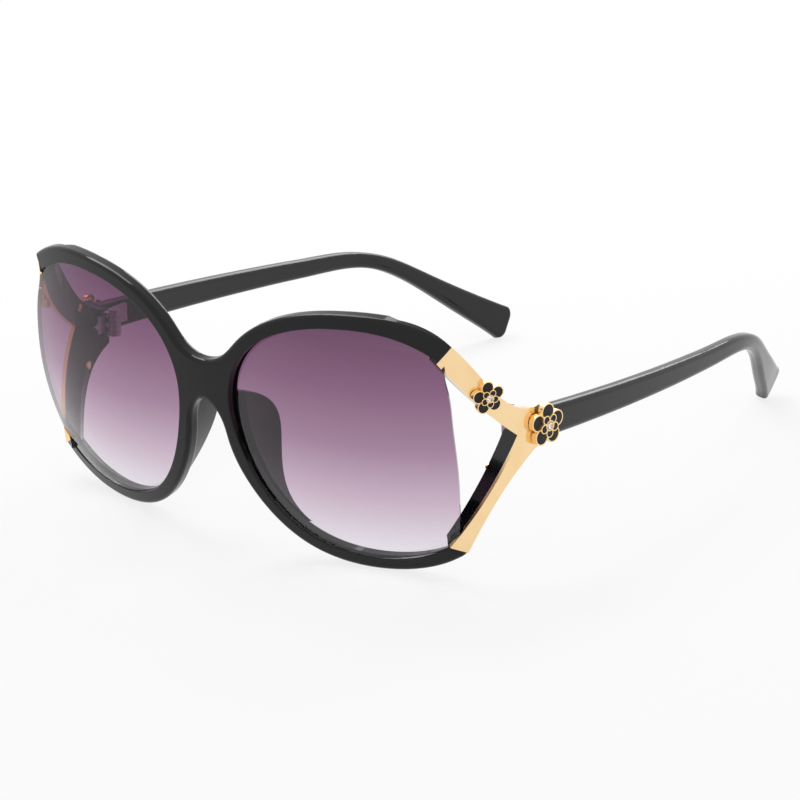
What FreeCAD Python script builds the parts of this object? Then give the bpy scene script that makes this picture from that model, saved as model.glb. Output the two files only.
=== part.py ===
# Oversized open-sided sunglasses, standing on the rims and the temple tips.
# +X is the wearer's left, the front faces -Y, the temples run to +Y and +Z is up.
# The front is drawn upright in its own frame, x across, y back and z up from the middle of
# the bridge line, and then leans forward at the top by front_tilt.
import FreeCAD, Part
import math
import os

from FreeCAD import Placement, Rotation, Vector

# Driving dimensions in millimetres and degrees
SIZES = {
    # Front: one spherical sheet that leans forward
    "base_radius": 165.4,
    "front_tilt": 8.75,
    "apex_height": 31.94,
    "apex_depth": 89.2,
    "frame_thickness": 3.7,
    # Lens outline, from the nose side to the bare outer edge
    "lens_width": 56.8,
    "lens_height": 59.1,
    "lens_centre_x": 35.0,
    "lens_centre_z": -1.75,
    "lens_thickness": 1.3,
    "lens_radius": 84.0,
    "lens_pole_x": 21.8,
    "lens_pole_z": -0.9,
    "lens_setback": 0.5,
    "lens_clearance": 0.05,
    "groove_depth": 1.0,
    # Rim widths seen from the front
    "rim_top": 3.3,
    "rim_nose": 3.5,
    "rim_bottom": 3.4,
    "rim_flare": 1.1,
    "rim_round": 1.0,
    "opening_round": 0.3,
    # Bridge
    "bridge_top": 14.3,
    "bridge_shoulder_x": 5.6,
    "bridge_shoulder_z": 15.9,
    "bridge_under": 4.6,
    "bridge_leg_x": 4.3,
    "bridge_leg_z": 0.8,
    # Forked endpiece that turns the corner to the hinge
    "side_x": 69.2,
    "corner_radius": 25.0,
    "corner_depth": 31.5,
    "endpiece_front_wall": 4.1,
    "endpiece_rear_wall": 6.4,
    "fork_turn": 65.0,
    "crotch_depth": 28.3,
    "crotch_z": -2.2,
    "joint_depth": 35.4,
    "stem_top": 2.6,
    "stem_bottom": -7.0,
    "upper_arm_width": 5.3,
    "upper_arm_root": 4.9,
    "lower_arm_width": 3.0,
    "lower_arm_root": 4.1,
    "upper_arm_bow": 1.0,
    "lower_arm_bow": 0.1,
    "relief_slope": 20.0,
    "relief_run": 8.0,
    "relief_rise": 7.5,
    "relief_bow": 1.5,
    "relief_fade": 54.0,
    "trim_thickness": 1.0,
    # Stakes that hold the trim from inside
    "pin_radius": 0.5,
    "pin_head_radius": 1.0,
    "pin_head_height": 0.4,
    "pin_clearance": 0.03,
    "upper_pin_angle": 70.5,
    "upper_pin_z": 5.6,
    "lower_pin_angle": 71.0,
    "lower_pin_z": -10.2,
    # Nose pads
    "pad_thickness": 2.6,
    "pad_inset": 0.3,
    "pad_flare": 9.5,
    "pad_depth": 13.6,
    "pad_crown_z": -6.5,
    "pad_top_z": 7.0,
    "pad_waist_z": -17.0,
    "pad_waist_depth": 8.6,
    "pad_bottom_z": -25.0,
    "pad_bottom_depth": 7.7,
    "pad_round": 0.7,
    # Blossom ornaments
    "front_flower_radius": 3.95,
    "front_flower_angle": 64.0,
    "front_flower_z": 10.8,
    "rear_flower_radius": 5.15,
    "rear_flower_overhang": 1.0,
    "rear_flower_z": 0.4,
    "rear_flower_standoff": 0.8,
    "rear_flower_turn": 8.0,
    "flower_thickness": 1.3,
    "flower_tier": 0.7,
    "enamel_depth": 0.5,
    "flower_foot_radius": 1.4,
    "flower_foot_setback": 1.8,
    "stone_clearance": 0.02,
    # Hinge
    "barrel_radius": 1.7,
    "barrel_gap": 0.15,
    "knuckle_height": 1.16,
    "knuckle_gap": 0.1,
    "screw_radius": 0.7,
    "screw_head_radius": 1.25,
    "screw_head_height": 0.5,
    "screw_slot_width": 0.4,
    "screw_slot_depth": 0.25,
    "screw_hold_clearance": 0.02,
    "screw_run_clearance": 0.05,
    "leaf_thickness": 1.4,
    "leaf_height": 4.6,
    "front_leaf_length": 2.6,
    "temple_leaf_length": 9.0,
    "leaf_proud": 0.6,
    "joint_gap": 0.2,
    # Temples
    "temple_reach": 142.3,
    "temple_thickness": 3.6,
    "temple_front_height": 7.6,
    "temple_bend_height": 4.1,
    "temple_tip_height": 10.2,
    "temple_round": 1.25,
    "temple_lowering": 0.3,
    "temple_splay": 2.9,
    "temple_bow_radius": 450.0,
    "temple_slope": 3.0,
    "hook_start": 104.0,
    "hook_blend": 24.0,
    "hook_drop": 32.17,
    "hook_inset": 12.8,
    "hook_lean": 20.0,
    "tip_corner": 3.0,
    "tip_round": 0.9,
}

# Lens outline in shares of half its width and half its height, from the upper end of the rim
# over the top, down the nose side, along the bottom and up the bare outer edge
LENS_OUTLINE = [
    (0.908, 0.787),
    (0.609, 0.936),
    (0.120, 1.000),
    (-0.387, 0.929),
    (-0.789, 0.709),
    (-0.975, 0.401),
    (-0.945, -0.083),
    (-0.768, -0.492),
    (-0.380, -0.871),
    (0.239, -1.000),
    (0.732, -0.895),
    (0.891, -0.804),
    (0.920, -0.715),
    (0.965, -0.500),
    (1.001, -0.250),
    (1.010, 0.020),
    (0.996, 0.290),
    (0.965, 0.530),
    (0.932, 0.665),
    (0.928, 0.745),
]
RIM_POINTS = 12
TOP_POINTS = 5
NOSE_POINTS = (6, 9)

# Blossom proportions in shares of its radius: an outer and an inner ring of petals
PETALS = 5
OUTER_RING = (0.60, 0.40)
INNER_RING = (0.33, 0.235)
PETAL_WALL = 0.08
BEZEL = 0.26
STONE = 0.19

# Share of a stone's radius that its flat top and its height take
STONE_TABLE = 0.55
STONE_CROWN = 0.45

# Room beyond the solid that a cutting or bounding block needs
MARGIN = 10.0

doc = FreeCAD.newDocument("sunglasses")
sheet = doc.addObject("Spreadsheet::Sheet", "Sizes")
for row, (alias, value) in enumerate(SIZES.items(), start=1):
    sheet.set(f"A{row}", alias.replace("_", " "))
    sheet.set(f"B{row}", str(value))
    sheet.setAlias(f"B{row}", alias)
doc.recompute()

X = Vector(1, 0, 0)
Y = Vector(0, 1, 0)
Z = Vector(0, 0, 1)
nodes = []


def size(alias):
    return float(sheet.get(alias))


FRONT = Placement(Vector(0, -size("apex_depth"), size("apex_height")), Rotation(X, size("front_tilt")))


# Building blocks

def as_node(obj, label):
    obj.Label = label
    nodes.append(obj)
    return obj


def mirrored(source, label):
    copy = doc.addObject("Part::Mirroring", label)
    copy.Source = source
    copy.Normal = X
    return copy


def both_sides(right, name):
    as_node(right, f"{name}_right")
    as_node(mirrored(right, f"{name}_left"), f"{name}_left")


def ball(name, radius, centre):
    """Sphere about a point of the front's own frame."""
    sphere = doc.addObject("Part::Sphere", name)
    sphere.setExpression("Radius", radius)
    sphere.Placement = FRONT * Placement(centre, Rotation())
    return sphere


def cylinder(name, placement, radius, height):
    rod = doc.addObject("Part::Cylinder", name)
    rod.setExpression("Radius", radius)
    rod.setExpression("Height", height)
    rod.Placement = placement
    return rod


def box(name, low, high):
    block = doc.addObject("Part::Box", name)
    block.Length = high.x - low.x
    block.Width = high.y - low.y
    block.Height = high.z - low.z
    block.Placement = Placement(low, Rotation())
    return block


def outline(name, edges, placement):
    face = doc.addObject("Part::Feature", name)
    face.Shape = Part.Face(Part.Wire(edges))
    face.Placement = placement
    return face


def extrusion(name, base, direction, length):
    block = doc.addObject("Part::Extrusion", name)
    block.Base = base
    block.DirMode = "Custom"
    block.Dir = direction
    block.LengthFwd = length
    block.Solid = True
    return block


def common(name, *shapes):
    meet = doc.addObject("Part::MultiCommon", name)
    meet.Shapes = list(shapes)
    return meet


def fuse(name, *shapes):
    union = doc.addObject("Part::MultiFuse", name)
    union.Shapes = list(shapes)
    return union


def cut(name, base, tool):
    rest = doc.addObject("Part::Cut", name)
    rest.Base = base
    rest.Tool = tool
    return rest


def group(name, *shapes):
    several = doc.addObject("Part::Compound", name)
    several.Links = list(shapes)
    return several


def rounded(name, base, radii):
    fillet = doc.addObject("Part::Fillet", name)
    fillet.Base = base
    fillet.Edges = [(index, radius, radius) for index, radius in sorted(radii.items())]
    return fillet


def spline(points):
    curve = Part.BSplineCurve()
    curve.interpolate(points)
    return curve.toShape()


def line(start, end):
    return Part.LineSegment(start, end).toShape()


def arc(start, middle, end):
    return Part.Arc(start, middle, end).toShape()


# Front outlines: x across and z up, in the plane y = 0

def lens_points():
    half_width = size("lens_width") / 2
    half_height = size("lens_height") / 2
    centre = Vector(size("lens_centre_x"), 0, size("lens_centre_z"))
    return [centre + Vector(u * half_width, 0, v * half_height) for u, v in LENS_OUTLINE]


def closed_curve(points):
    curve = Part.BSplineCurve()
    curve.interpolate(points, True)
    return curve


def offset_points(curve, points, distance):
    """Points moved off the lens outline, outwards where distance is positive."""
    moved = []
    for point in points:
        along = curve.tangent(curve.parameter(point))[0]
        outward = Vector(along.z, 0, -along.x)
        if outward.dot(point - Vector(size("lens_centre_x"), 0, size("lens_centre_z"))) < 0:
            outward = -outward
        moved.append(point + outward * distance(outward))
    return moved


def rim_width(outward):
    top = max(0.0, outward.z) ** 2
    bottom = max(0.0, -outward.z) ** 2
    width = size("rim_nose")
    width += (size("rim_top") - size("rim_nose")) * top
    width += (size("rim_bottom") - size("rim_nose")) * bottom
    width += size("rim_flare") * 2 * max(0.0, outward.x) * max(0.0, outward.z)
    return width - size("groove_depth")


def across(points):
    return [Vector(-point.x, point.y, point.z) for point in points]


curve = closed_curve(lens_points())
held = lens_points()[:RIM_POINTS]
opening = offset_points(curve, held, lambda outward: -size("groove_depth"))
rim = offset_points(curve, held, rim_width)
shoulder = Vector(size("bridge_shoulder_x"), 0, size("bridge_shoulder_z"))
saddle = Vector(0, 0, size("bridge_top"))
arch = Vector(0, 0, size("bridge_under"))
leg = Vector(size("bridge_leg_x"), 0, size("bridge_leg_z"))
brow = rim[:TOP_POINTS] + [shoulder]
base = [leg] + rim[TOP_POINTS + 1:]


# Rims and bridge: the front outline cut from a spherical sheet

def front_block(name, face):
    """The outline swept from in front of the sheet to well behind it."""
    return extrusion(name, face, FRONT.Rotation.multVec(Y), size("corner_depth") + MARGIN)


def in_front(edges, name):
    return outline(name, edges, FRONT * Placement(-Y * MARGIN, Rotation()))


rim_edges = [
    spline(brow + [saddle] + across(brow)[::-1]),
    line(across(rim)[0], across(opening)[0]),
    spline(across(opening)),
    line(across(opening)[-1], across(rim)[-1]),
    spline(across(base)[::-1] + [arch] + base),
    line(rim[-1], opening[-1]),
    spline(opening[::-1]),
    line(opening[0], rim[0]),
]
rim_face = in_front(rim_edges, "rim_face")
front_centre = Y * size("base_radius")
front_ball = ball("front_ball", "Sizes.base_radius", front_centre)
back_ball = ball("back_ball", "Sizes.base_radius - Sizes.frame_thickness", front_centre)
rim_sheet = common("rim_sheet", front_block("rim_block", rim_face), front_ball)
rim_shell = cut("rim_shell", rim_sheet, back_ball)
doc.recompute()


def rim_radii(shape):
    """Long edges of the rims: the outer ones are rounder than those at the lens."""
    radii = {}
    for index, edge in enumerate(shape.Edges, start=1):
        faces = shape.ancestorsOfType(edge, Part.Face)
        walls = [face for face in faces if not isinstance(face.Surface, (Part.Sphere, Part.Plane))]
        sheets = [face for face in faces if isinstance(face.Surface, Part.Sphere)]
        if len(walls) == 1 and len(sheets) == 1:
            middle = abs(walls[0].CenterOfMass.x) < size("bridge_leg_x")
            radii[index] = size("rim_round") if middle else size("opening_round")
    return radii


rim_rounded = rounded("rim_rounded", rim_shell, rim_radii(rim_shell.Shape))

# Lens, more strongly curved than the front, with its edge ground square to its face

lens_depth = size("lens_radius") + size("lens_setback")
lens_middle = Vector(size("lens_pole_x"), lens_depth, size("lens_pole_z"))


def lens_section(name, depth):
    """Section, at a depth, of the cone from the sphere's centre through the lens outline."""
    centre = Vector(lens_middle.x, 0, lens_middle.z)
    moved = []
    for point in lens_points():
        rise = math.sqrt(size("lens_radius") ** 2 - (point - centre).Length ** 2)
        moved.append(centre + (point - centre) * ((lens_middle.y - depth) / rise) + Y * depth)
    return outline(name, [closed_curve(moved).toShape()], FRONT)


lens_cone = doc.addObject("Part::Loft", "lens_cone")
lens_cone.Sections = [
    lens_section("lens_section_front", -MARGIN),
    lens_section("lens_section_back", size("corner_depth")),
]
lens_cone.Solid = True
lens_cone.Ruled = True
lens_back = "Sizes.lens_radius - Sizes.lens_thickness"
lens_sheet = common("lens_sheet", lens_cone, ball("lens_ball", "Sizes.lens_radius", lens_middle))
lens = cut("lens", lens_sheet, ball("lens_back", lens_back, lens_middle))

# Groove that holds the lens
groove_points = offset_points(curve, lens_points(), lambda outward: size("lens_clearance"))
groove_face = in_front([closed_curve(groove_points).toShape()], "groove_face")
groove_sheet = common(
    "groove_sheet",
    front_block("groove_block", groove_face),
    ball("groove_front", "Sizes.lens_radius + Sizes.lens_clearance", lens_middle),
)
groove_back = ball("groove_back", lens_back + " - Sizes.lens_clearance", lens_middle)
groove = cut("groove", groove_sheet, groove_back)
both_sides(lens, "lens")


# Endpiece: a band that turns the corner, cut to a fork seen from the side

corner = Vector(size("side_x") - size("corner_radius"), size("corner_depth"), 0)


def on_corner(angle, inward=0.0):
    """Point of the corner's plan at an angle from the front, and that far in from its face."""
    turn = math.radians(angle)
    return corner + Vector(math.sin(turn), -math.cos(turn), 0) * (size("corner_radius") - inward)


def corner_angle(x):
    return math.degrees(math.asin((x - corner.x) / size("corner_radius")))


rim_end_angle = corner_angle(opening[0].x)
inner_side = size("side_x") - size("endpiece_rear_wall")
inner_front = on_corner(rim_end_angle, size("endpiece_front_wall"))
inner_sag = inner_side - inner_front.x
inner_rise = size("corner_depth") - inner_front.y
inner_radius = (inner_sag ** 2 + inner_rise ** 2) / (2 * inner_sag)
inner_corner = Vector(inner_side - inner_radius, size("corner_depth"), 0)

# The band starts a little inside the rim, so that both are one moulding
BAND_OVERLAP = 3.0


def on_inner_corner(angle):
    turn = math.radians(angle)
    return inner_corner + Vector(math.sin(turn), -math.cos(turn), 0) * inner_radius


inner_start_angle = math.degrees(math.asin((inner_front.x - inner_corner.x) / inner_radius))
band_end = size("joint_depth") + MARGIN


def band(name, outer_inset, inner_inset):
    """Plan of the corner between two depths below its outer face; None is the inner face."""
    start = rim_end_angle - BAND_OVERLAP
    middle = (start + 90) / 2
    outer_x = size("side_x") - outer_inset
    outer = [
        arc(on_corner(start, outer_inset), on_corner(middle, outer_inset), on_corner(90, outer_inset)),
        line(on_corner(90, outer_inset), Vector(outer_x, band_end, 0)),
    ]
    if inner_inset is None:
        inner_x = inner_side
        inner_first = on_inner_corner(inner_start_angle - BAND_OVERLAP)
        inner_middle = on_inner_corner((inner_start_angle + 90) / 2)
    else:
        inner_x = size("side_x") - inner_inset
        inner_first = on_corner(start, inner_inset)
        inner_middle = on_corner(middle, inner_inset)
    inner_last = Vector(inner_x, size("corner_depth"), 0)
    inner = [
        line(Vector(outer_x, band_end, 0), Vector(inner_x, band_end, 0)),
        line(Vector(inner_x, band_end, 0), inner_last),
        arc(inner_last, inner_middle, inner_first),
        line(inner_first, on_corner(start, outer_inset)),
    ]
    below = Placement(-Z * size("lens_height"), Rotation())
    face = outline(f"{name}_plan", outer + inner, FRONT * below)
    return extrusion(f"{name}_band", face, FRONT.Rotation.multVec(Z), 2 * size("lens_height"))


fork_turn = math.radians(size("fork_turn"))
fork_way = Vector(-math.sin(fork_turn), math.cos(fork_turn), 0)


def on_side(point):
    """Where a point of the front outline shows on the side, seen square to the middle of the arms."""
    face = on_corner(corner_angle(point.x))
    ahead = (size("side_x") - face.x) / math.tan(fork_turn)
    return Vector(size("side_x"), face.y - ahead, point.z)


def bowed(start, end, bow):
    """Arc from start to end seen from the side, bowed towards the front by that much."""
    chord = end - start
    forward = Vector(0, -abs(chord.z), -abs(chord.y) * math.copysign(1, -chord.z * chord.y))
    forward.normalize()
    return Part.Arc(start, (start + end) * 0.5 + forward * bow, end)


def beside(edge, share, width):
    """Point at a share of an arm's front edge, moved back across the arm by its width."""
    at = edge.FirstParameter + share * (edge.LastParameter - edge.FirstParameter)
    along = edge.tangent(at)[0]
    back = Vector(0, abs(along.z), abs(along.y) * math.copysign(1, -along.y * along.z))
    return edge.value(at) + back * width


crotch = Vector(size("side_x"), size("crotch_depth"), size("crotch_z"))
stem_middle = (size("stem_top") + size("stem_bottom")) / 2


def stem_end(z, beyond=0.0):
    return Vector(size("side_x"), size("joint_depth") + beyond, z)


# Shares of an arm's front edge at which its width is given
UPPER_STATIONS = (0.34, 0.70)
LOWER_STATIONS = (0.24, 0.62)

upper_front, upper_back = on_side(opening[0]), on_side(rim[0])
lower_front, lower_back = on_side(opening[-1]), on_side(rim[-1])
upper_arm = bowed(upper_front, crotch, size("upper_arm_bow"))
lower_arm = bowed(crotch, lower_front, size("lower_arm_bow"))
stem_top, stem_bottom = stem_end(size("stem_top")), stem_end(size("stem_bottom"))
past_top, past_bottom = stem_end(size("stem_top"), MARGIN), stem_end(size("stem_bottom"), MARGIN)
top_points = [
    upper_back,
    beside(upper_arm, UPPER_STATIONS[0], size("upper_arm_width")),
    beside(upper_arm, UPPER_STATIONS[1], size("upper_arm_root")),
    stem_top,
]
bottom_points = [
    stem_bottom,
    beside(lower_arm, LOWER_STATIONS[0], size("lower_arm_root")),
    beside(lower_arm, LOWER_STATIONS[1], size("lower_arm_width")),
    lower_back,
]


def along_rim(inner, outer):
    """Way along the rim from its end, square to the end plane."""
    width = outer - inner
    width.normalize()
    return Vector(-abs(width.z), 0, math.copysign(width.x, width.z))


def carried_on(inner, outer, reach):
    """Step of that length from an arm's end along its rim, seen from the side."""
    step = on_side(outer + along_rim(inner, outer)) - on_side(outer)
    step.normalize()
    return step * reach


def arm_end(back, front, ahead):
    """Edges that close an arm, carried on into the rim where ahead has a length."""
    if not ahead.Length:
        return [line(back, front)]
    return [line(back, back + ahead), line(back + ahead, front + ahead), line(front + ahead, front)]


def fork_edges(reach):
    """Fork seen from the side; reach takes its arms on into the rims."""
    edges = [spline(top_points), line(stem_top, past_top), line(past_top, past_bottom)]
    edges += [line(past_bottom, stem_bottom), spline(bottom_points)]
    edges += arm_end(lower_back, lower_front, carried_on(opening[-1], rim[-1], reach))
    edges += [lower_arm.toShape(), upper_arm.toShape()]
    edges += arm_end(upper_front, upper_back, carried_on(opening[0], rim[0], reach))
    return edges


stem_place = FRONT.multVec(Vector(0, size("joint_depth"), stem_middle))
joint_y = stem_place.y
past_joint = box(
    "past_joint",
    Vector(0, joint_y, stem_place.z - size("lens_height")),
    Vector(size("side_x") + MARGIN, joint_y + 3 * MARGIN, stem_place.z + size("lens_height")),
)


def fork(name, reach):
    """The fork swept in from the side, ending in an upright face at the joint."""
    face = outline(f"{name}_side", Part.__sortEdges__(fork_edges(reach)), FRONT)
    swept = extrusion(f"{name}_swept", face, FRONT.Rotation.multVec(fork_way), size("corner_radius"))
    swept.LengthRev = MARGIN
    return cut(f"{name}_fork", swept, past_joint)


RIM_JOIN = 1.5
body_band = band("endpiece", size("trim_thickness"), None)
endpiece = common("endpiece", body_band, fork("endpiece", RIM_JOIN))
trim_band = band("trim", 0.0, size("trim_thickness"))


def rim_stop(name, inner, outer):
    """Block on the rim's side of its end plane, where the trim has to stop."""
    ahead = along_rim(inner, outer) * MARGIN
    width = outer - inner
    low, high = inner - width * MARGIN, outer + width * MARGIN
    edges = [line(low, high), line(high, high + ahead)]
    edges += [line(high + ahead, low + ahead), line(low + ahead, low)]
    return front_block(name, in_front(edges, f"{name}_face"))


upper_stop = rim_stop("upper_stop", opening[0], rim[0])
lower_stop = rim_stop("lower_stop", opening[-1], rim[-1])
trim_limit = fuse("trim_limit", upper_stop, lower_stop, groove)
trim = cut("trim", common("trim_whole", trim_band, fork("trim", 0.0)), trim_limit)
both_sides(trim, "trim_plate")

# Bevels behind the edges of the endpiece, which run out along the ends of the rim

def lifted(point, slope):
    """A point of the fork's edge moved so that the bevel starts on the corner's outer face."""
    behind = min(0.0, point.y - corner.y)
    middle = size("corner_radius") * math.sin(fork_turn) - behind * math.cos(fork_turn)
    return point + Z * slope * (middle - math.sqrt(middle ** 2 - behind ** 2))


def bevel(name, points, run, past, slope, away):
    """Room beyond one edge of the fork, from the rim's end to past the joint, swept in and down."""
    edge = [lifted(point, slope) for point in points]
    start = lifted(points[0] + run, slope)
    crest = (start + edge[0]) * 0.5 + away * (size("relief_bow") / away.Length)
    fade = start + away - Y * (away.Length / math.tan(math.radians(size("relief_fade"))))
    loop = [arc(start, crest, edge[0]), spline(edge), line(edge[-1], past), line(past, past + away)]
    loop += [line(past + away, fade), line(fade, start)]
    face = outline(f"{name}_face", loop, FRONT)
    way = FRONT.Rotation.multVec(fork_way - Z * slope)
    return extrusion(name, face, way, size("corner_radius") + MARGIN)


brow_slope = math.tan(math.radians(size("relief_slope")))
brow_run = Vector(0, -size("relief_run"), size("relief_rise"))
cheek_run = Vector(0, -size("relief_run"), -size("relief_rise"))
over = Z * size("lens_height")
brow_bevel = bevel("brow_bevel", top_points, brow_run, past_top, brow_slope, over)
cheek_bevel = bevel("cheek_bevel", bottom_points[::-1], cheek_run, past_bottom, 0.0, -over)
doc.recompute()


# Stakes through the endpiece into the trim

def corner_frame(angle, z, inward):
    """Frame on the corner at a depth below its face, with its z axis pointing out."""
    turn = math.radians(angle)
    out = Vector(math.sin(turn), -math.cos(turn), 0)
    along = Vector(math.cos(turn), math.sin(turn), 0)
    place = on_corner(angle, inward) + Z * z
    return FRONT * Placement(place, Rotation(along, Z, out, "ZXY"))


def wall_at(angle):
    """Depth of the endpiece's inner face below the corner's outer face."""
    turn = math.radians(angle)
    out = Vector(math.sin(turn), -math.cos(turn), 0)
    start = on_corner(angle) - inner_corner
    reach = start.dot(out)
    return reach - math.sqrt(reach ** 2 - start.dot(start) + inner_radius ** 2)


def stake(name, place):
    angle, z = size(f"{place}_pin_angle"), size(f"{place}_pin_z")
    depth = wall_at(angle)
    foot = corner_frame(angle, z, depth)
    length = f"{depth} - Sizes.trim_thickness / 2"
    shank = cylinder(f"{name}_shank", foot, "Sizes.pin_radius", length)
    under = foot * Placement(-Z * size("pin_head_height"), Rotation())
    head = cylinder(f"{name}_head", under, "Sizes.pin_head_radius", "Sizes.pin_head_height")
    hole = cylinder(f"{name}_hole", foot, "Sizes.pin_radius + Sizes.pin_clearance", length)
    whole = fuse(f"{name}_whole", shank, head)
    return cut(name, whole, trim), fuse(f"{name}_seat", hole, head)


upper_stake, upper_seat = stake("upper_stake", "upper")
lower_stake, lower_seat = stake("lower_stake", "lower")
both_sides(group("trim_pins", upper_stake, lower_stake), "trim_pins")

# Hinge: an upright pivot just inside the endpiece, where the stem ends
hinge_z = stem_place.z - size("temple_lowering")
pivot_x = inner_side - size("barrel_radius") - size("barrel_gap")
KNUCKLES = 5
pitch = size("knuckle_height") + size("knuckle_gap")
stack_low = hinge_z - (KNUCKLES * size("knuckle_height") + (KNUCKLES - 1) * size("knuckle_gap")) / 2


def knuckle(name, index, web_low, web_high, clearance):
    """One barrel with the web that ties it to its leaf, bored for the screw."""
    low = stack_low + index * pitch
    high = low + size("knuckle_height")
    at = Placement(Vector(pivot_x, joint_y, low), Rotation())
    barrel = cylinder(f"{name}_barrel", at, "Sizes.barrel_radius", "Sizes.knuckle_height")
    web = box(f"{name}_web", Vector(web_low.x, web_low.y, low), Vector(web_high.x, web_high.y, high))
    bore = cylinder(f"{name}_bore", at, f"Sizes.screw_radius + Sizes.{clearance}", "Sizes.knuckle_height")
    return cut(name, fuse(f"{name}_whole", barrel, web), bore)


def leaf(name, low_y, length, inner_x, outer_x):
    half = Vector(0, 0, size("leaf_height") / 2)
    low = Vector(inner_x, low_y, hinge_z) - half
    high = Vector(outer_x, low_y + length, hinge_z) + half
    return box(name, low, high)


clear = size("barrel_radius") + size("joint_gap")
front_leaf_low = joint_y - clear - size("front_leaf_length")
front_leaf_out = inner_side - size("leaf_proud") + size("leaf_thickness")
front_plate = leaf(
    "front_plate", front_leaf_low, size("front_leaf_length"), inner_side - size("leaf_proud"), front_leaf_out
)
front_web = (Vector(pivot_x, joint_y - clear - size("leaf_proud"), 0), Vector(inner_side, joint_y, 0))
front_knuckles = [
    knuckle(f"front_knuckle_{index}", index, *front_web, "screw_hold_clearance")
    for index in range(0, KNUCKLES, 2)
]
front_leaf = fuse("front_leaf", front_plate, *front_knuckles)
both_sides(front_leaf, "hinge_front_leaf")

temple_inner = size("side_x") - size("temple_thickness")
temple_leaf_in = temple_inner - size("leaf_proud")
temple_plate = leaf(
    "temple_plate",
    joint_y + size("joint_gap"),
    size("temple_leaf_length"),
    temple_leaf_in,
    temple_leaf_in + size("leaf_thickness"),
)
temple_web = (
    Vector(pivot_x, joint_y + size("joint_gap"), 0),
    Vector(temple_inner, joint_y + size("barrel_radius"), 0),
)
temple_knuckles = [
    knuckle(f"temple_knuckle_{index}", index, *temple_web, "screw_run_clearance")
    for index in range(1, KNUCKLES, 2)
]
temple_leaf = fuse("temple_leaf", temple_plate, *temple_knuckles)
both_sides(temple_leaf, "hinge_temple_leaf")

stack_high = stack_low + KNUCKLES * pitch - size("knuckle_gap")
screw_foot = Placement(Vector(pivot_x, joint_y, stack_low), Rotation())
screw_top = Placement(Vector(pivot_x, joint_y, stack_high), Rotation())
shank = cylinder("screw_shank", screw_foot, "Sizes.screw_radius", f"{stack_high - stack_low}")
head = cylinder("screw_head", screw_top, "Sizes.screw_head_radius", "Sizes.screw_head_height")
head_top = stack_high + size("screw_head_height")
slot_low = Vector(
    pivot_x - size("screw_head_radius") - MARGIN,
    joint_y - size("screw_slot_width") / 2,
    head_top - size("screw_slot_depth"),
)
slot_high = Vector(
    pivot_x + size("screw_head_radius") + MARGIN,
    joint_y + size("screw_slot_width") / 2,
    head_top + MARGIN,
)
screw = cut("screw", fuse("screw_blank", shank, head), box("screw_slot", slot_low, slot_high))
both_sides(screw, "hinge_screw")

# The moulding: rims, bridge and both endpieces in one, cleared for all that sits in it
seats = (groove, trim, upper_seat, lower_seat, front_leaf, brow_bevel, cheek_bevel)
endpiece_seats = fuse("endpiece_seats", *seats)
moulding = fuse("moulding", rim_rounded, endpiece, mirrored(endpiece, "endpiece_left"))
right_cleared = cut("right_cleared", moulding, endpiece_seats)
front_frame = cut("front_frame", right_cleared, mirrored(endpiece_seats, "endpiece_seats_left"))
as_node(front_frame, "front_frame")


# Nose pads: wings that stand back from the nose side of the rims

pad_outer = offset_points(curve, held[NOSE_POINTS[0] - 1:NOSE_POINTS[1]],
                          lambda outward: rim_width(outward) - size("pad_inset"))
pad_inner = offset_points(curve, held[NOSE_POINTS[0] - 1:NOSE_POINTS[1]],
                          lambda outward: rim_width(outward) - size("pad_inset") - size("pad_thickness"))
pad_edges = [
    spline(pad_outer),
    line(pad_outer[-1], pad_inner[-1]),
    spline(pad_inner[::-1]),
    line(pad_inner[0], pad_outer[0]),
]
flare = math.radians(size("pad_flare"))
pad_way = FRONT.Rotation.multVec(Vector(math.sin(flare), math.cos(flare), 0))
pad_plan = outline("pad_plan", pad_edges, FRONT)
pad_block = extrusion("pad_block", pad_plan, pad_way, size("pad_depth") + MARGIN)
pad_root = size("frame_thickness")
pad_back = [
    Vector(0, pad_root, size("pad_top_z")),
    Vector(0, size("pad_depth"), size("pad_crown_z")),
    Vector(0, size("pad_waist_depth"), size("pad_waist_z")),
    Vector(0, size("pad_bottom_depth"), size("pad_bottom_z")),
]
pad_side_edges = [
    spline(pad_back),
    line(pad_back[-1], Vector(0, -MARGIN, size("pad_bottom_z"))),
    line(Vector(0, -MARGIN, size("pad_bottom_z")), Vector(0, -MARGIN, size("pad_top_z"))),
    line(Vector(0, -MARGIN, size("pad_top_z")), pad_back[0]),
]
pad_side = outline("pad_side", pad_side_edges, FRONT)
pad_reach = extrusion("pad_reach", pad_side, X, size("lens_width"))
pad_wing = common("pad_wing", pad_block, pad_reach, back_ball)
doc.recompute()


def pad_radii(shape):
    """The two long edges of the wing's back, which rest on the nose."""
    back = max(shape.Faces, key=lambda face: FRONT.inverse().multVec(face.CenterOfMass).y)
    long_edges = [edge for edge in back.Edges if edge.Length > 2 * size("pad_thickness")]
    return {
        index: size("pad_round")
        for index, edge in enumerate(shape.Edges, start=1)
        if any(edge.isSame(other) for other in long_edges)
    }


pad = rounded("pad", pad_wing, pad_radii(pad_wing.Shape))
both_sides(pad, "nose_pad")


# Blossoms: a lobed casting with enamel in its petals and a stone in its middle

def petal_ring(name, frame, radius, ring, turn, inset, low, height):
    """Round petals about the middle of a blossom."""
    distance, petal = ring[0] * radius, (ring[1] - inset) * radius
    petals = []
    for index in range(PETALS):
        angle = math.radians(turn + index * 360 / PETALS)
        at = Vector(math.sin(angle) * distance, math.cos(angle) * distance, low)
        rod = cylinder(f"{name}_{index}", frame * Placement(at, Rotation()), f"{petal}", height)
        petals.append(rod)
    return petals


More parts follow.
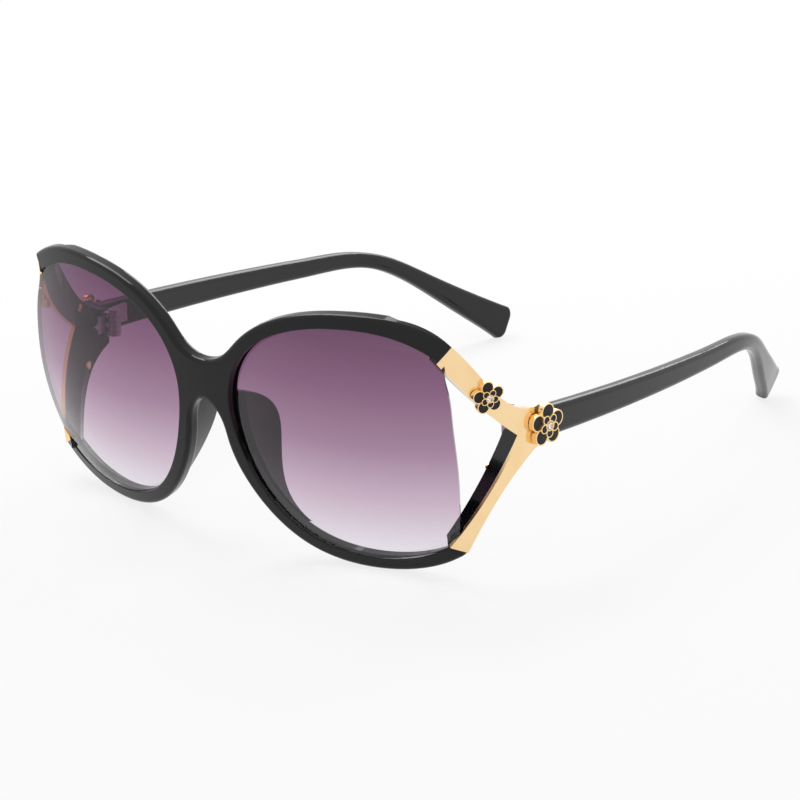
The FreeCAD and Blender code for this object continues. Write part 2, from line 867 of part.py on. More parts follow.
def blossom(name, frame, radius, foot):
    """Casting, enamel and stone of one blossom."""
    tier = size("flower_thickness")
    top = tier + size("flower_tier")
    outer_low = tier - size("enamel_depth")
    inner_low = top - size("enamel_depth")
    half_turn = 180 / PETALS
    outer = petal_ring(f"{name}_outer", frame, radius, OUTER_RING, 0, 0, 0, "Sizes.flower_thickness")
    middle = cylinder(f"{name}_middle", frame, f"{OUTER_RING[0] * radius}", "Sizes.flower_thickness")
    high = f"{top}"
    inner = petal_ring(f"{name}_inner", frame, radius, INNER_RING, half_turn, 0, 0, high)
    bezel = cylinder(f"{name}_bezel", frame, f"{BEZEL * radius}", high)
    raised = fuse(f"{name}_raised", bezel, *inner)
    cell = "Sizes.enamel_depth"
    outer_cells = petal_ring(f"{name}_outer_cell", frame, radius, OUTER_RING, 0, PETAL_WALL, outer_low, cell)
    inner_cells = petal_ring(
        f"{name}_inner_cell", frame, radius, INNER_RING, half_turn, PETAL_WALL, inner_low, cell
    )
    outer_enamel = [cut(f"{rod.Name}_fill", rod, raised) for rod in outer_cells]
    inner_enamel = [cut(f"{rod.Name}_fill", rod, bezel) for rod in inner_cells]
    enamel = group(f"{name}_enamel", *outer_enamel, *inner_enamel)
    girdle = STONE * radius
    seat_low = frame * Placement(Z * inner_low, Rotation())
    seat = cylinder(f"{name}_seat", seat_low, f"{girdle} + Sizes.stone_clearance", cell)
    stone_girdle = cylinder(f"{name}_girdle", seat_low, f"{girdle}", cell)
    crown = doc.addObject("Part::Cone", f"{name}_crown")
    crown.Radius1 = girdle
    crown.Radius2 = girdle * STONE_TABLE
    crown.Height = girdle * STONE_CROWN
    crown.Placement = frame * Placement(Z * top, Rotation())
    stone = fuse(f"{name}_stone", stone_girdle, crown)
    blank = fuse(f"{name}_blank", middle, raised, foot, *outer)
    cells = fuse(f"{name}_cells", seat, *outer_enamel, *inner_enamel)
    return cut(f"{name}_casting", blank, cells), enamel, stone


front_flower_place = corner_frame(size("front_flower_angle"), size("front_flower_z"), 0.0)
sunk = front_flower_place * Placement(-Z * size("trim_thickness"), Rotation())
front_foot = cut(
    "front_foot",
    cylinder("front_foot_post", sunk, "Sizes.flower_foot_radius", "Sizes.trim_thickness"),
    fuse("front_foot_bed", trim, endpiece),
)
front_blossom = blossom("front_flower", front_flower_place, size("front_flower_radius"), front_foot)

rear_place = Vector(
    size("side_x") + size("rear_flower_standoff"),
    joint_y + size("rear_flower_overhang"),
    hinge_z + size("rear_flower_z"),
)
outward = Rotation(Y, Z, X, "ZXY")
rear_frame = Placement(rear_place, Rotation(Z, -size("rear_flower_turn")) * outward)
foot_place = Vector(size("side_x"), joint_y - size("flower_foot_setback"), rear_place.z)
rear_foot = cylinder(
    "rear_foot", Placement(foot_place, outward), "Sizes.flower_foot_radius", "Sizes.rear_flower_standoff"
)
rear_blossom = blossom("rear_flower", rear_frame, size("rear_flower_radius"), rear_foot)
for place, pieces in (("front", front_blossom), ("rear", rear_blossom)):
    for name, piece in zip(("flower", "enamel", "stone"), pieces):
        both_sides(piece, f"{name}_{place}")


# Temples: a bowed bar that drops, turns in and flares towards its tip

def hook_run(along):
    """Distance run along the hook's slope, eased in over the bend."""
    start = size("hook_start") - size("hook_blend") / 2
    if along <= start:
        return 0.0
    if along < start + size("hook_blend"):
        return (along - start) ** 2 / (2 * size("hook_blend"))
    return along - size("hook_start")


def temple_axis(along):
    splay = math.tan(math.radians(size("temple_splay")))
    slope = math.tan(math.radians(size("temple_slope")))
    inset = math.tan(math.radians(size("hook_inset")))
    drop = math.tan(math.radians(size("hook_drop")))
    run = hook_run(along)
    x = size("side_x") - size("temple_thickness") / 2
    x += splay * along - along ** 2 / (2 * size("temple_bow_radius")) - inset * run
    y = joint_y + size("joint_gap") + along
    z = hinge_z - slope * along - drop * run
    return Vector(x, y, z)


def temple_height(along):
    bend = size("hook_start")
    if along < bend:
        share = along / bend
        taper = size("temple_front_height") - size("temple_bend_height")
        return size("temple_front_height") - taper * share
    share = (along - bend) / (size("temple_reach") - bend)
    flare = size("temple_tip_height") - size("temple_bend_height")
    return size("temple_bend_height") + flare * share ** 2


# Half the length over which the temple's direction is taken
STEP = 0.5


def temple_frame(along):
    """Middle of the temple, its way, its side and its up, which lean out on the hook."""
    if along == 0:
        way = Y
    else:
        way = temple_axis(along + STEP) - temple_axis(along - STEP)
        way.normalize()
    turned = (hook_run(along + STEP) - hook_run(along - STEP)) / (2 * STEP)
    side = way.cross(Z)
    side.normalize()
    lean = Rotation(way, size("hook_lean") * turned)
    side = lean.multVec(side)
    return temple_axis(along), way, side, side.cross(way)


def temple_section(along):
    """Round-cornered section across the temple."""
    centre, way, side, up = temple_frame(along)
    half_t = size("temple_thickness") / 2
    half_h = temple_height(along) / 2
    radius = size("temple_round")
    cut_corner = radius * (1 - math.sqrt(0.5))

    def at(a, b):
        return centre + side * a + up * b

    edges = []
    for sa, sb in ((1, 1), (1, -1), (-1, -1), (-1, 1)):
        level = at(sa * half_t, sb * (half_h - radius))
        round_middle = at(sa * (half_t - cut_corner), sb * (half_h - cut_corner))
        across_end = at(sa * (half_t - radius), sb * half_h)
        corner_ends = (across_end, level) if sa == sb else (level, across_end)
        edges.append((corner_ends[0], round_middle, corner_ends[1]))
    wire = []
    for current, following in zip(edges, edges[1:] + edges[:1]):
        wire.append(arc(*current))
        wire.append(line(current[2], following[0]))
    return Part.Wire(wire)


TEMPLE_SECTIONS = 15
stations = [size("temple_reach") * index / (TEMPLE_SECTIONS - 1) for index in range(TEMPLE_SECTIONS)]
sections = [temple_section(along) for along in stations]
temple_bar = doc.addObject("Part::Feature", "temple_bar")
temple_bar.Shape = Part.makeLoft(sections, True, False)
doc.recompute()
tip, tip_way, tip_side, tip_up = temple_frame(size("temple_reach"))


def tip_corner(name, up):
    """Room beyond one rounded corner of the tip, seen from the side."""
    radius = size("tip_corner")
    inner = tip - tip_way * radius + up * (size("temple_tip_height") / 2 - radius)
    high, ahead = inner + up * radius, inner + tip_way * radius
    middle = inner + (tip_way + up) * (radius * math.sqrt(0.5))
    beyond = tip_way * MARGIN
    above = up * MARGIN
    far_corner = high + above + beyond
    edges = [arc(high, middle, ahead), line(ahead, ahead + beyond), line(ahead + beyond, far_corner)]
    edges += [line(far_corner, high + above), line(high + above, high)]
    face = outline(f"{name}_face", edges, Placement(-tip_side * MARGIN, Rotation()))
    return extrusion(name, face, tip_side, 2 * MARGIN)


tip_corners = fuse("tip_corners", tip_corner("tip_top", tip_up), tip_corner("tip_bottom", -tip_up))
temple_blunt = cut("temple_blunt", temple_bar, tip_corners)
doc.recompute()


def tip_radii(shape):
    """Edges between the sides of the temple and its blunt end."""
    radii = {}
    for index, edge in enumerate(shape.Edges, start=1):
        faces = shape.ancestorsOfType(edge, Part.Face)
        ends = [face for face in faces if isinstance(face.Surface, (Part.Plane, Part.Cylinder))]
        if len(ends) == 1 and edge.CenterOfMass.distanceToPoint(tip) < size("temple_tip_height"):
            radii[index] = size("tip_round")
    return radii


temple_rounded = rounded("temple_rounded", temple_blunt, tip_radii(temple_blunt.Shape))
temple = cut("temple", temple_rounded, temple_leaf)
both_sides(temple, "temple")

# Every object has to be sound before anything is written
doc.recompute()
for obj in doc.Objects:
    if "Invalid" in obj.State or "Error" in obj.State:
        raise RuntimeError(f"{obj.Label} failed: {obj.State}")
for obj in nodes:
    if obj.Shape.isNull() or not obj.Shape.isValid() or not obj.Shape.Solids:
        raise RuntimeError(f"{obj.Label} has no sound shape")

os.makedirs("parts", exist_ok=True)
for obj in nodes:
    obj.Shape.exportStep(f"parts/{obj.Label}.step")
    extent = obj.Shape.BoundBox
    print(obj.Label, len(obj.Shape.Solids), round(obj.Shape.Volume, 2), extent)
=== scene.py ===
# %% [markdown]
# # Oversized sunglasses
# The part's solids come in first and stay where they are. What follows gives each of them its
# finish, models the small jewellery more finely than the solids do, and sets up a plain studio.

# %% The part
import math

import bpy
from mathutils import Matrix, Vector


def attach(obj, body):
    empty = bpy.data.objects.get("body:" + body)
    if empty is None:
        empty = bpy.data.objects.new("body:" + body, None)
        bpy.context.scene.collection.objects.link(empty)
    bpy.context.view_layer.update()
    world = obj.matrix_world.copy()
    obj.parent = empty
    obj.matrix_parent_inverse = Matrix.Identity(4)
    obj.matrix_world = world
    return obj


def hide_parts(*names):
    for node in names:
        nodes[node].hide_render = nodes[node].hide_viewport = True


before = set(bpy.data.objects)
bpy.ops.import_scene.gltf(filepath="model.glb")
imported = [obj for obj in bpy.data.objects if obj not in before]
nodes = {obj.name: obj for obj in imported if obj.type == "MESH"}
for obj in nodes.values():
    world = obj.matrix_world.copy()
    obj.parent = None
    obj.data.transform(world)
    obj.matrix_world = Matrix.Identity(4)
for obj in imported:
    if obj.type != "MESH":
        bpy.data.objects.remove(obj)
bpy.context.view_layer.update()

MM = 0.001

# %% [markdown]
# ## Writing finishes as sums
# A finish is a graph of nodes. Drawn by hand it is a web of Math nodes, and written out socket by
# socket it is longer still. Here a small class wraps a socket, so that `1 - wear * 0.3` adds the
# nodes by itself, and one method makes every other kind of node.

# %% Values and finishes
class Value:
    """A number that changes over a surface."""

    def __init__(self, finish, socket):
        self.finish = finish
        self.socket = socket

    def maths(self, operation, first, second):
        return self.finish.node("ShaderNodeMath", {"operation": operation}, {0: first, 1: second})

    def __add__(self, other):
        return self.maths("ADD", self, other)

    def __sub__(self, other):
        return self.maths("SUBTRACT", self, other)

    def __rsub__(self, other):
        return self.maths("SUBTRACT", other, self)

    def __mul__(self, other):
        return self.maths("MULTIPLY", self, other)

    __radd__ = __add__
    __rmul__ = __mul__


class Finish:
    """A graph of nodes that ends in one output."""

    def __init__(self, tree, output):
        self.tree = tree
        self.tree.nodes.clear()
        self.output = self.tree.nodes.new(output)

    def node(self, kind, settings={}, sockets={}, output=0):
        made = self.tree.nodes.new(kind)
        for name, setting in settings.items():
            if name == "stops":
                ramp = made.color_ramp.elements
                while len(ramp) < len(setting):
                    ramp.new(0.5)
                for stop, (place, colour) in zip(ramp, setting):
                    stop.position = place
                    stop.color = (*colour, 1.0)
            else:
                setattr(made, name, setting)
        for name, value in sockets.items():
            if isinstance(value, Value):
                self.tree.links.new(value.socket, made.inputs[name])
            else:
                made.inputs[name].default_value = value
        return Value(self, made.outputs[output])

    def show(self, shader):
        self.tree.links.new(shader.socket, self.output.inputs["Surface"])

    def place(self, scale=(1.0, 1.0, 1.0)):
        """Object coordinates in millimetres, stretched by a scale on each axis."""
        here = self.node("ShaderNodeTexCoord", output="Object")
        size = tuple(s / MM for s in scale)
        return self.node("ShaderNodeMapping", {}, {"Vector": here, "Scale": size})

    def grain(self, place, size, detail=2.0):
        """Cloudy noise whose blotches are about size millimetres across."""
        return self.node("ShaderNodeTexNoise", {}, {"Vector": place, "Scale": 1 / size, "Detail": detail})

    def tint(self, factor, *colours):
        """One colour where factor is 0 and the other where it is 1."""
        first, second = (c if isinstance(c, Value) else (*c, 1.0) for c in colours)
        return self.node("ShaderNodeMix", {"data_type": "RGBA"}, {0: factor, 6: first, 7: second}, 2)

    def bumps(self, height, depth):
        """Normal of a surface that stands out by depth millimetres where height is 1."""
        return self.node("ShaderNodeBump", {}, {"Height": height, "Distance": depth * MM, "Strength": 1.0})


def new_finish(name):
    material = bpy.data.materials.new(name)
    material.use_nodes = True
    return material, Finish(material.node_tree, "ShaderNodeOutputMaterial")


def wear(names, material):
    """The finish on each of these nodes."""
    for name in names:
        slots = nodes[name].data.materials
        slots.clear()
        slots.append(material)
    print(material.name, "on", len(names), "nodes")


def pair(*names):
    return [f"{name}_{side}" for name in names for side in ("right", "left")]


# %% [markdown]
# ## Camera
# The photograph was taken with a long lens from the front and a little above. The angles and the
# distance were worked out from the mirror symmetry of the two halves.

# %% Camera
EYE = (0.4597, -0.6068, 0.2650)
LOOKS_DOWN, LOOKS_ASIDE = 18.33, 37.88
FILM, FOCAL = 36, 142.2
bpy.ops.object.select_all(action="DESELECT")
bpy.ops.object.camera_add(
    location=EYE, rotation=(math.radians(90 - LOOKS_DOWN), 0, math.radians(LOOKS_ASIDE))
)
camera = bpy.context.object
camera.data.sensor_width = FILM
camera.data.lens = FOCAL
bpy.context.scene.camera = camera
print("camera", round(camera.location.length, 3), "m from the middle of the part")

# %% [markdown]
# ## Black plastic
# Injection-moulded and tumble-polished plastic is nearly black and reflects the room. What tells it
# from a mirror is a slow waviness of the surface, a little haze where polishing was lighter, and a
# very fine orange peel that softens the edges of reflections.

# %% Black plastic
HAZE_SIZE, WAVE_SIZE, PEEL_SIZE = 14.0, 9.0, 0.9
WAVE_DEPTH = 0.02
PITCH, SOOT = (0.002, 0.002, 0.003), (0.006, 0.006, 0.007)


def black_plastic(name, roughness, haze, peel, index):
    material, finish = new_finish(name)
    place = finish.place()
    clouds = finish.grain(place, HAZE_SIZE)
    fine = finish.grain(place, PEEL_SIZE, 3.0)
    waves = finish.grain(place, WAVE_SIZE, 0.0)
    finish.show(finish.node("ShaderNodeBsdfPrincipled", {}, {
        "Base Color": finish.tint(clouds, PITCH, SOOT),
        "Roughness": roughness + haze * clouds,
        "IOR": index,
        "Normal": finish.bumps(waves + fine * peel, WAVE_DEPTH),
    }))
    return material


frame_black = black_plastic("frame_black", 0.03, 0.06, 0.03, 1.35)
temple_black = black_plastic("temple_black", 0.05, 0.08, 0.03, 1.46)
pad_black = black_plastic("pad_black", 0.12, 0.12, 0.05, 1.35)
wear(["front_frame"], frame_black)
wear(pair("temple"), temple_black)
wear(pair("nose_pad"), pad_black)

# %% [markdown]
# ## Tinted lenses
# The tint is dipped: dense at the brow and almost clear at the cheek. It follows the height on the
# lens, which leans with the front, so the object's place is turned by that lean first. The colours
# are what the lens lets through. A lens this thin hardly shifts what lies behind it, so its body
# bends light very little and a glossy coat gives the reflections. Its cut edge, where the surface faces
# sideways, which its own normal tells, is painted near-black as shade.

# %% Tinted lenses
LEAN = math.radians(8.75)
LENS_LOW, LENS_HIGH = 15.1, 75.1
EDGE_FACING = 0.68
# Painted shade: the colour given to the lens's sideways-facing cut edge.
EDGE_SHADE = (0.05, 0.04, 0.05)
SMEAR_SIZE = 18.0
DIP = [
    (0.03, (0.78, 0.74, 0.80)),
    (0.27, (0.57, 0.44, 0.55)),
    (0.50, (0.35, 0.21, 0.32)),
    (0.73, (0.22, 0.10, 0.19)),
    (0.97, (0.12, 0.04, 0.10)),
]


def lens_tint(name):
    material, finish = new_finish(name)
    here = finish.node("ShaderNodeTexCoord", output="Object")
    leaned = finish.node("ShaderNodeMapping", {}, {
        "Vector": here,
        "Rotation": (-LEAN, 0, 0),
        "Scale": (1 / MM,) * 3,
    })
    height = finish.node("ShaderNodeSeparateXYZ", {}, {0: leaned}, 2)
    share = (height - LENS_LOW) * (1 / (LENS_HIGH - LENS_LOW))
    colour = finish.node("ShaderNodeValToRGB", {"stops": DIP}, {0: share})
    facing = finish.node("ShaderNodeTexCoord", output="Normal")
    forward = finish.node("ShaderNodeSeparateXYZ", {}, {0: facing}, 1)
    # Where the surface faces sideways, the cut edge is painted dark as shade over the tint.
    edge = forward.maths("LESS_THAN", forward * forward, EDGE_FACING ** 2)
    tint_and_edge_shade = finish.tint(edge, colour, EDGE_SHADE)
    smear = finish.grain(finish.place(), SMEAR_SIZE)
    finish.show(finish.node("ShaderNodeBsdfPrincipled", {}, {
        "Base Color": tint_and_edge_shade,
        "Roughness": 0.006 * smear,
        "IOR": 1.02,
        "Transmission Weight": 1.0,
        "Coat Weight": 0.9 - 0.1 * smear,
        "Coat Roughness": 0.01,
        "Coat IOR": 1.5,
    }))
    return material


lens_purple = lens_tint("lens_purple")
wear(pair("lens"), lens_purple)

# %% [markdown]
# ## Gold and steel
# The plates are plated and polished, so their colour is that of their reflections. Fine polishing
# lines run along the metal, and the plating is a little duller in patches. The hinge is tumbled
# steel, greyer and rougher.

# %% Gold and steel
PATCH_SIZE, LINE_SIZE = 5.0, 0.12
LINE_STRETCH = (1.0, 1.0, 0.06)
LINE_DEPTH = 0.004


def polished_metal(name, pale, deep, roughness, haze, lines):
    material, finish = new_finish(name)
    clouds = finish.grain(finish.place(), PATCH_SIZE)
    drawn = finish.grain(finish.place(LINE_STRETCH), LINE_SIZE, 3.0)
    finish.show(finish.node("ShaderNodeBsdfPrincipled", {}, {
        "Base Color": finish.tint(clouds, pale, deep),
        "Metallic": 1.0,
        "Roughness": roughness + haze * clouds + lines * drawn,
        "Normal": finish.bumps(drawn, LINE_DEPTH * lines),
    }))
    return material


GOLD_PALE, GOLD_DEEP = (0.99, 0.75, 0.43), (0.94, 0.65, 0.34)
STEEL_PALE, STEEL_DEEP = (0.66, 0.65, 0.64), (0.52, 0.51, 0.50)
trim_gold = polished_metal("trim_gold", GOLD_PALE, GOLD_DEEP, 0.10, 0.06, 0.10)
flower_gold = polished_metal("flower_gold", GOLD_PALE, GOLD_DEEP, 0.14, 0.08, 0.08)
hinge_steel = polished_metal("hinge_steel", STEEL_PALE, STEEL_DEEP, 0.24, 0.12, 0.20)
wear(pair("trim_plate", "trim_pins"), trim_gold)
wear(pair("hinge_front_leaf", "hinge_temple_leaf", "hinge_screw"), hinge_steel)

# %% [markdown]
# ## Enamel and stones
# The petals are filled with fired black enamel, glassy and slightly pitted. The stones are clear
# cut glass.

# %% Enamel and stones
SWELL_SIZE, PIT_SIZE, SWELL_DEPTH = 1.2, 0.25, 0.03
INK, UMBER = (0.003, 0.003, 0.003), (0.010, 0.008, 0.009)
ICE, FROST, CLOUD_SIZE = (0.97, 0.96, 0.98), (0.92, 0.92, 0.95), 0.6


def fired_enamel(name):
    material, finish = new_finish(name)
    place = finish.place()
    clouds = finish.grain(place, SWELL_SIZE)
    pits = finish.grain(place, PIT_SIZE, 4.0)
    finish.show(finish.node("ShaderNodeBsdfPrincipled", {}, {
        "Base Color": finish.tint(clouds, INK, UMBER),
        "Roughness": 0.05 + 0.08 * clouds,
        "IOR": 1.38,
        "Normal": finish.bumps(clouds + pits * 0.2, SWELL_DEPTH),
    }))
    return material


def cut_glass(name):
    material, finish = new_finish(name)
    clouds = finish.grain(finish.place(), CLOUD_SIZE)
    finish.show(finish.node("ShaderNodeBsdfPrincipled", {}, {
        "Base Color": finish.tint(clouds, ICE, FROST),
        "Roughness": 0.02 * clouds,
        "IOR": 1.7,
        "Transmission Weight": 1.0,
    }))
    return material


enamel_black = fired_enamel("enamel_black")
stone_clear = cut_glass("stone_clear")

# %% [markdown]
# ## Blossoms: the gold casting
# Each blossom on the real frame is a small casting, gold plated: two rings of round petals, the
# inner one higher and turned by half a petal, about a cup for the stone. A petal is a short
# cylinder whose top is inset and pushed down, which leaves a thin wall round a cell. Its rims are
# then bevelled, as casting and polishing leave them, and spinning it about the middle gives the
# ring. All of it is modelled once at the origin, at the size of the larger blossom, with a foot
# below that stands on the plate.

# %% Blossom casting
PETALS = 5
ROUND = 48
CELL = 0.5 * MM
RIM_ROUND, RIM_STEPS = 0.09 * MM, 3
LEVEL = 0.01 * MM
UPRIGHT = 0.9
SMOOTH = math.radians(40)


def pick(piece, kind, test):
    """Leaves a mesh in edit mode with the faces or edges that pass a test selected."""
    bpy.ops.object.mode_set(mode="EDIT")
    bpy.ops.mesh.select_mode(type=kind)
    bpy.ops.mesh.select_all(action="DESELECT")
    bpy.ops.object.mode_set(mode="OBJECT")
    for part in piece.data.polygons if kind == "FACE" else piece.data.edges:
        part.select = test(part)
    bpy.ops.object.mode_set(mode="EDIT")


def round_off(piece, axis, top, amount, steps):
    """Bevels the circles about an upright axis that lie at one height."""
    def circle(edge):
        ends = [piece.data.vertices[index].co for index in edge.vertices]
        spans = [(end.xy - Vector(axis)).length for end in ends]
        return all(abs(end.z - top) < LEVEL for end in ends) and abs(spans[0] - spans[1]) < LEVEL

    pick(piece, "EDGE", circle)
    bpy.ops.mesh.bevel(offset=amount, segments=steps)
    bpy.ops.object.mode_set(mode="OBJECT")


def drum(axis, radius, floor, top):
    bpy.ops.object.select_all(action="DESELECT")
    bpy.ops.mesh.primitive_cylinder_add(
        vertices=ROUND, radius=radius, depth=top - floor, location=(*axis, (floor + top) / 2)
    )
    bpy.ops.object.transform_apply(location=True, rotation=False, scale=False)
    return bpy.context.object


def cup(axis, radius, top, wall):
    """Drum with a cell sunk in its top and both rims rounded."""
    piece = drum(axis, radius, 0.0, top)
    pick(piece, "FACE", lambda face: face.normal.z > UPRIGHT)
    bpy.ops.mesh.inset(thickness=wall, depth=0)
    bpy.ops.mesh.extrude_region_move(TRANSFORM_OT_translate={"value": (0, 0, -CELL)})
    round_off(piece, axis, top, RIM_ROUND, RIM_STEPS)
    return piece


def ring(piece):
    """The piece and its copies, a full ring about the middle."""
    turn = math.tau * (PETALS - 1) / PETALS
    bpy.ops.object.mode_set(mode="EDIT")
    bpy.ops.mesh.select_all(action="SELECT")
    bpy.ops.mesh.spin(steps=PETALS - 1, dupli=True, angle=turn, center=(0, 0, 0), axis=(0, 0, 1))
    bpy.ops.mesh.select_all(action="SELECT")
    bpy.ops.mesh.normals_make_consistent(inside=False)
    bpy.ops.object.mode_set(mode="OBJECT")
    return piece


def joined(name, *pieces):
    bpy.ops.object.select_all(action="DESELECT")
    for piece in pieces:
        piece.select_set(True)
    bpy.context.view_layer.objects.active = pieces[0]
    bpy.ops.object.join()
    bpy.ops.object.shade_smooth_by_angle(angle=SMOOTH)
    pieces[0].name = name
    print(name, len(pieces[0].data.polygons), "faces")
    return pieces[0]


OUTER_REACH, OUTER_PETAL, OUTER_TOP, OUTER_WALL = 3.14 * MM, 2.01 * MM, 1.3 * MM, 0.33 * MM
INNER_REACH, INNER_PETAL, INNER_TOP, INNER_WALL = 1.78 * MM, 1.11 * MM, 2.0 * MM, 0.27 * MM
SETTING, SETTING_TOP, SETTING_WALL = 1.30 * MM, 2.1 * MM, 0.30 * MM
WEB, WEB_TOP = 3.2 * MM, 0.75 * MM
FOOT, FOOT_LOW, FOOT_TOP = 1.4 * MM, -1.0 * MM, 0.1 * MM
half_turn = math.pi / PETALS
outer_axis = (0.0, OUTER_REACH)
inner_axis = (INNER_REACH * math.sin(half_turn), INNER_REACH * math.cos(half_turn))
web = drum((0, 0), WEB, 0.0, WEB_TOP)
round_off(web, (0, 0), WEB_TOP, RIM_ROUND, RIM_STEPS)
foot = drum((0, 0), FOOT, FOOT_LOW, FOOT_TOP)
casting = joined(
    "casting",
    ring(cup(outer_axis, OUTER_PETAL, OUTER_TOP, OUTER_WALL)),
    ring(cup(inner_axis, INNER_PETAL, INNER_TOP, INNER_WALL)),
    cup((0, 0), SETTING, SETTING_TOP, SETTING_WALL),
    web,
    foot,
)

# %% [markdown]
# ## Blossoms: enamel and stone
# The enamel is poured into the cells and fired. It creeps up the walls and stands a little domed,
# so each drop is a drum with a wide bevel on top. The stone is a cone cut off at its table and
# drawn to a point below. Turning the table by half a facet and splitting the sides into triangles
# gives the crown its facets, which stay flat.

# %% Enamel and stone
ENAMEL_SUNK, ENAMEL_HIGH, ENAMEL_DOME = 0.05 * MM, 0.36 * MM, 0.24 * MM
DOME_STEPS = 5
FIT = 0.01 * MM
GIRDLE, TABLE = 0.98 * MM, 0.54 * MM
GIRDLE_HIGH, CROWN, PAVILION = 2.0 * MM, 0.44 * MM, 0.36 * MM
FACETS = 12


def drop(axis, radius, rim_top):
    floor = rim_top - CELL
    piece = drum(axis, radius - FIT, floor - ENAMEL_SUNK, floor + ENAMEL_HIGH)
    round_off(piece, axis, floor + ENAMEL_HIGH, ENAMEL_DOME, DOME_STEPS)
    return ring(piece)


enamel = joined(
    "enamel",
    drop(outer_axis, OUTER_PETAL - OUTER_WALL, OUTER_TOP),
    drop(inner_axis, INNER_PETAL - INNER_WALL, INNER_TOP),
)

bpy.ops.object.select_all(action="DESELECT")
bpy.ops.mesh.primitive_cone_add(
    vertices=FACETS, radius1=GIRDLE, radius2=TABLE, depth=CROWN, location=(0, 0, GIRDLE_HIGH + CROWN / 2)
)
bpy.ops.object.transform_apply(location=True, rotation=False, scale=False)
stone = bpy.context.object
stone.name = "stone"
pick(stone, "FACE", lambda face: face.normal.z > UPRIGHT)
table_middle = (0, 0, GIRDLE_HIGH + CROWN)
bpy.ops.transform.rotate(value=math.pi / FACETS, orient_axis="Z", center_override=table_middle)
pick(stone, "FACE", lambda face: face.normal.z < -UPRIGHT)
bpy.ops.mesh.extrude_region_move(TRANSFORM_OT_translate={"value": (0, 0, -PAVILION)})
bpy.ops.mesh.merge(type="CENTER")
bpy.ops.mesh.select_all(action="SELECT")
bpy.ops.mesh.quads_convert_to_tris()
bpy.ops.mesh.normals_make_consistent(inside=False)
bpy.ops.object.mode_set(mode="OBJECT")
print("stone", len(stone.data.polygons), "faces")

# %% [markdown]
# ## Blossoms: four copies in place
# The larger blossom covers the hinge and the smaller one sits on the upper arm of the plate, on
# both sides of the frame. Each copy has its own mesh, and its place goes into the mesh: the width
# follows the blossom's radius, the heights stay, and the left side is mirrored, after which the
# normals are turned outwards again.

# %% Blossoms in place
BLOSSOM = 5.15 * MM
SEATS = {
    "front": ((66.67, -70.54, 45.74), (0.89879, -0.43327, -0.06669), (0.0, -0.1521, 0.9884), 3.95),
    "rear": ((70.0, -52.88, 35.25), (0.99027, -0.13917, 0.0), (0.0, 0.0, 1.0), 5.15),
}
LIKENESS = [
    (casting, "flower", flower_gold, "flower_gold"),
    (enamel, "enamel", enamel_black, "enamel_black"),
    (stone, "stone", stone_clear, "stone_clear"),
]


def seat_matrix(base, outward, up, radius):
    wide = radius * MM / BLOSSOM
    outward, up = Vector(outward), Vector(up)
    axes = (up.cross(outward) * wide, up * wide, outward)
    placed = Matrix(axes).transposed().to_4x4()
    placed.translation = Vector(base) * MM
    return placed


def set_copy(model, kind, material, slot, name, matrix):
    """One copy of a model on the front, in place of a solid."""
    bpy.ops.object.select_all(action="DESELECT")
    model.select_set(True)
    bpy.context.view_layer.objects.active = model
    bpy.ops.object.duplicate()
    copy = bpy.context.object
    copy.name = f"fine_{kind}_{name}"
    copy.data.transform(matrix)
    bpy.ops.object.mode_set(mode="EDIT")
    bpy.ops.mesh.select_all(action="SELECT")
    bpy.ops.mesh.normals_make_consistent(inside=False)
    bpy.ops.object.mode_set(mode="OBJECT")
    copy.data.materials.append(material)
    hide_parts(f"{kind}_{name}")
    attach(copy, "front")


for seat, sizes in SEATS.items():
    right = seat_matrix(*sizes)
    for side, matrix in (("right", right), ("left", Matrix.Diagonal((-1, 1, 1, 1)) @ right)):
        for likeness in LIKENESS:
            set_copy(*likeness, f"{seat}_{side}", matrix)
bpy.ops.object.select_all(action="DESELECT")
for model in (casting, enamel, stone):
    model.select_set(True)
bpy.ops.object.delete()
print(2 * len(SEATS) * len(LIKENESS), "pieces of", 2 * len(SEATS), "blossoms")

# %% [markdown]
# ## Studio
# A white table and a white room. The eye, the gloss and the glass see them as plain white, while
# the light that they throw on the part stays at a plain level, and the table keeps a soft shadow.

# %% Table
FLOOR_SIZE = 6.0
PAPER, WHITE = (0.9, 0.9, 0.9, 1.0), (1.0, 1.0, 1.0, 1.0)
TABLE_GLOW = 0.8


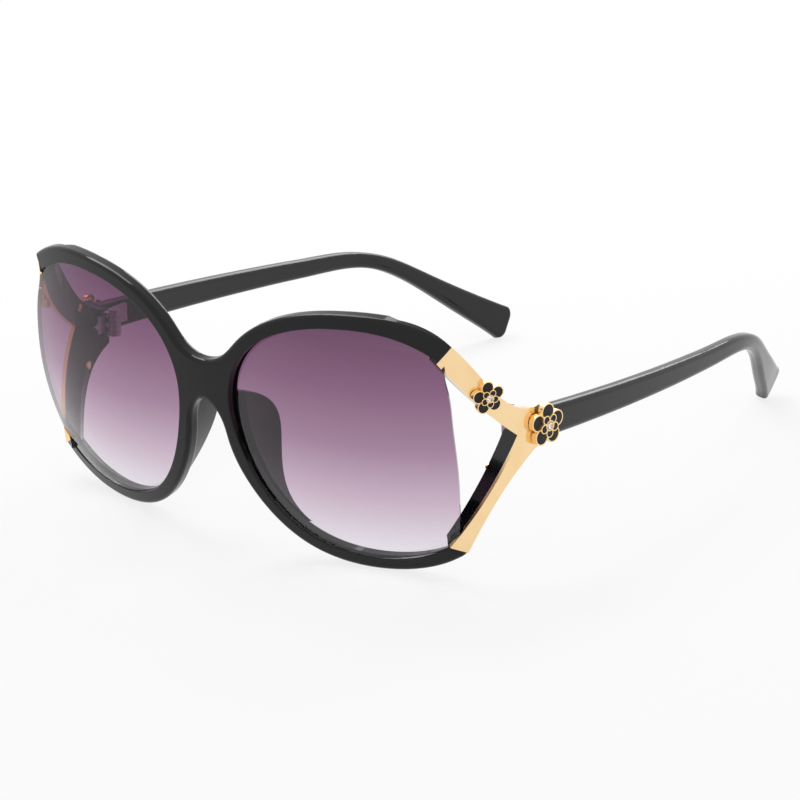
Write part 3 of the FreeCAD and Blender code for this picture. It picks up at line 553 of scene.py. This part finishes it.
def seen_directly(finish):
    """1 for rays from the eye, from gloss and through glass, and 0 for the light on the part."""
    camera_ray = finish.node("ShaderNodeLightPath", output="Is Camera Ray")
    glossy_ray = finish.node("ShaderNodeLightPath", output="Is Glossy Ray")
    glass_ray = finish.node("ShaderNodeLightPath", output="Is Transmission Ray")
    return camera_ray + glossy_ray + glass_ray


bpy.ops.object.select_all(action="DESELECT")
bpy.ops.mesh.primitive_plane_add(size=FLOOR_SIZE, location=(0, 0, 0))
table = bpy.context.object
table.name = "table"
table_white, finish = new_finish("table_white")
paper = finish.node("ShaderNodeBsdfDiffuse", {}, {"Color": PAPER})
glow = finish.node("ShaderNodeEmission", {}, {"Color": WHITE, "Strength": 1.0})
factor = seen_directly(finish) * TABLE_GLOW
finish.show(finish.node("ShaderNodeMixShader", {}, {0: factor, 1: paper, 2: glow}))
table.data.materials.append(table_white)
print("table", FLOOR_SIZE, "m wide")

# %% Room
ROOM_LIGHT = 0.55
AIM = (0, 0, 0.03)
room = bpy.data.worlds.new("room")
bpy.context.scene.world = room
room.use_nodes = True
finish = Finish(room.node_tree, "ShaderNodeOutputWorld")
finish.show(finish.node("ShaderNodeBackground", {}, {
    "Color": WHITE,
    "Strength": ROOM_LIGHT + (1 - ROOM_LIGHT) * seen_directly(finish),
}))


def softbox(name, place, width, depth, power):
    bpy.ops.object.select_all(action="DESELECT")
    bpy.ops.object.light_add(type="AREA", location=place)
    lamp = bpy.context.object
    lamp.name = name
    lamp.data.shape = "RECTANGLE"
    lamp.data.size, lamp.data.size_y = width, depth
    lamp.data.energy = power
    lamp.rotation_euler = (Vector(AIM) - Vector(place)).to_track_quat("-Z", "Y").to_euler()
    print(name, power, "W")


softbox("over", (-0.5, 0.1, 0.8), 0.5, 0.5, 3.5)
softbox("back", (-0.25, 0.8, 0.65), 0.6, 0.5, 3.0)

# %% [markdown]
# ## Colour view
# Colours are shown through the Standard view transform. The pieces must fill the same box as
# the solids.

# %% Colour view and the end
bpy.context.scene.view_settings.view_transform = "Standard"
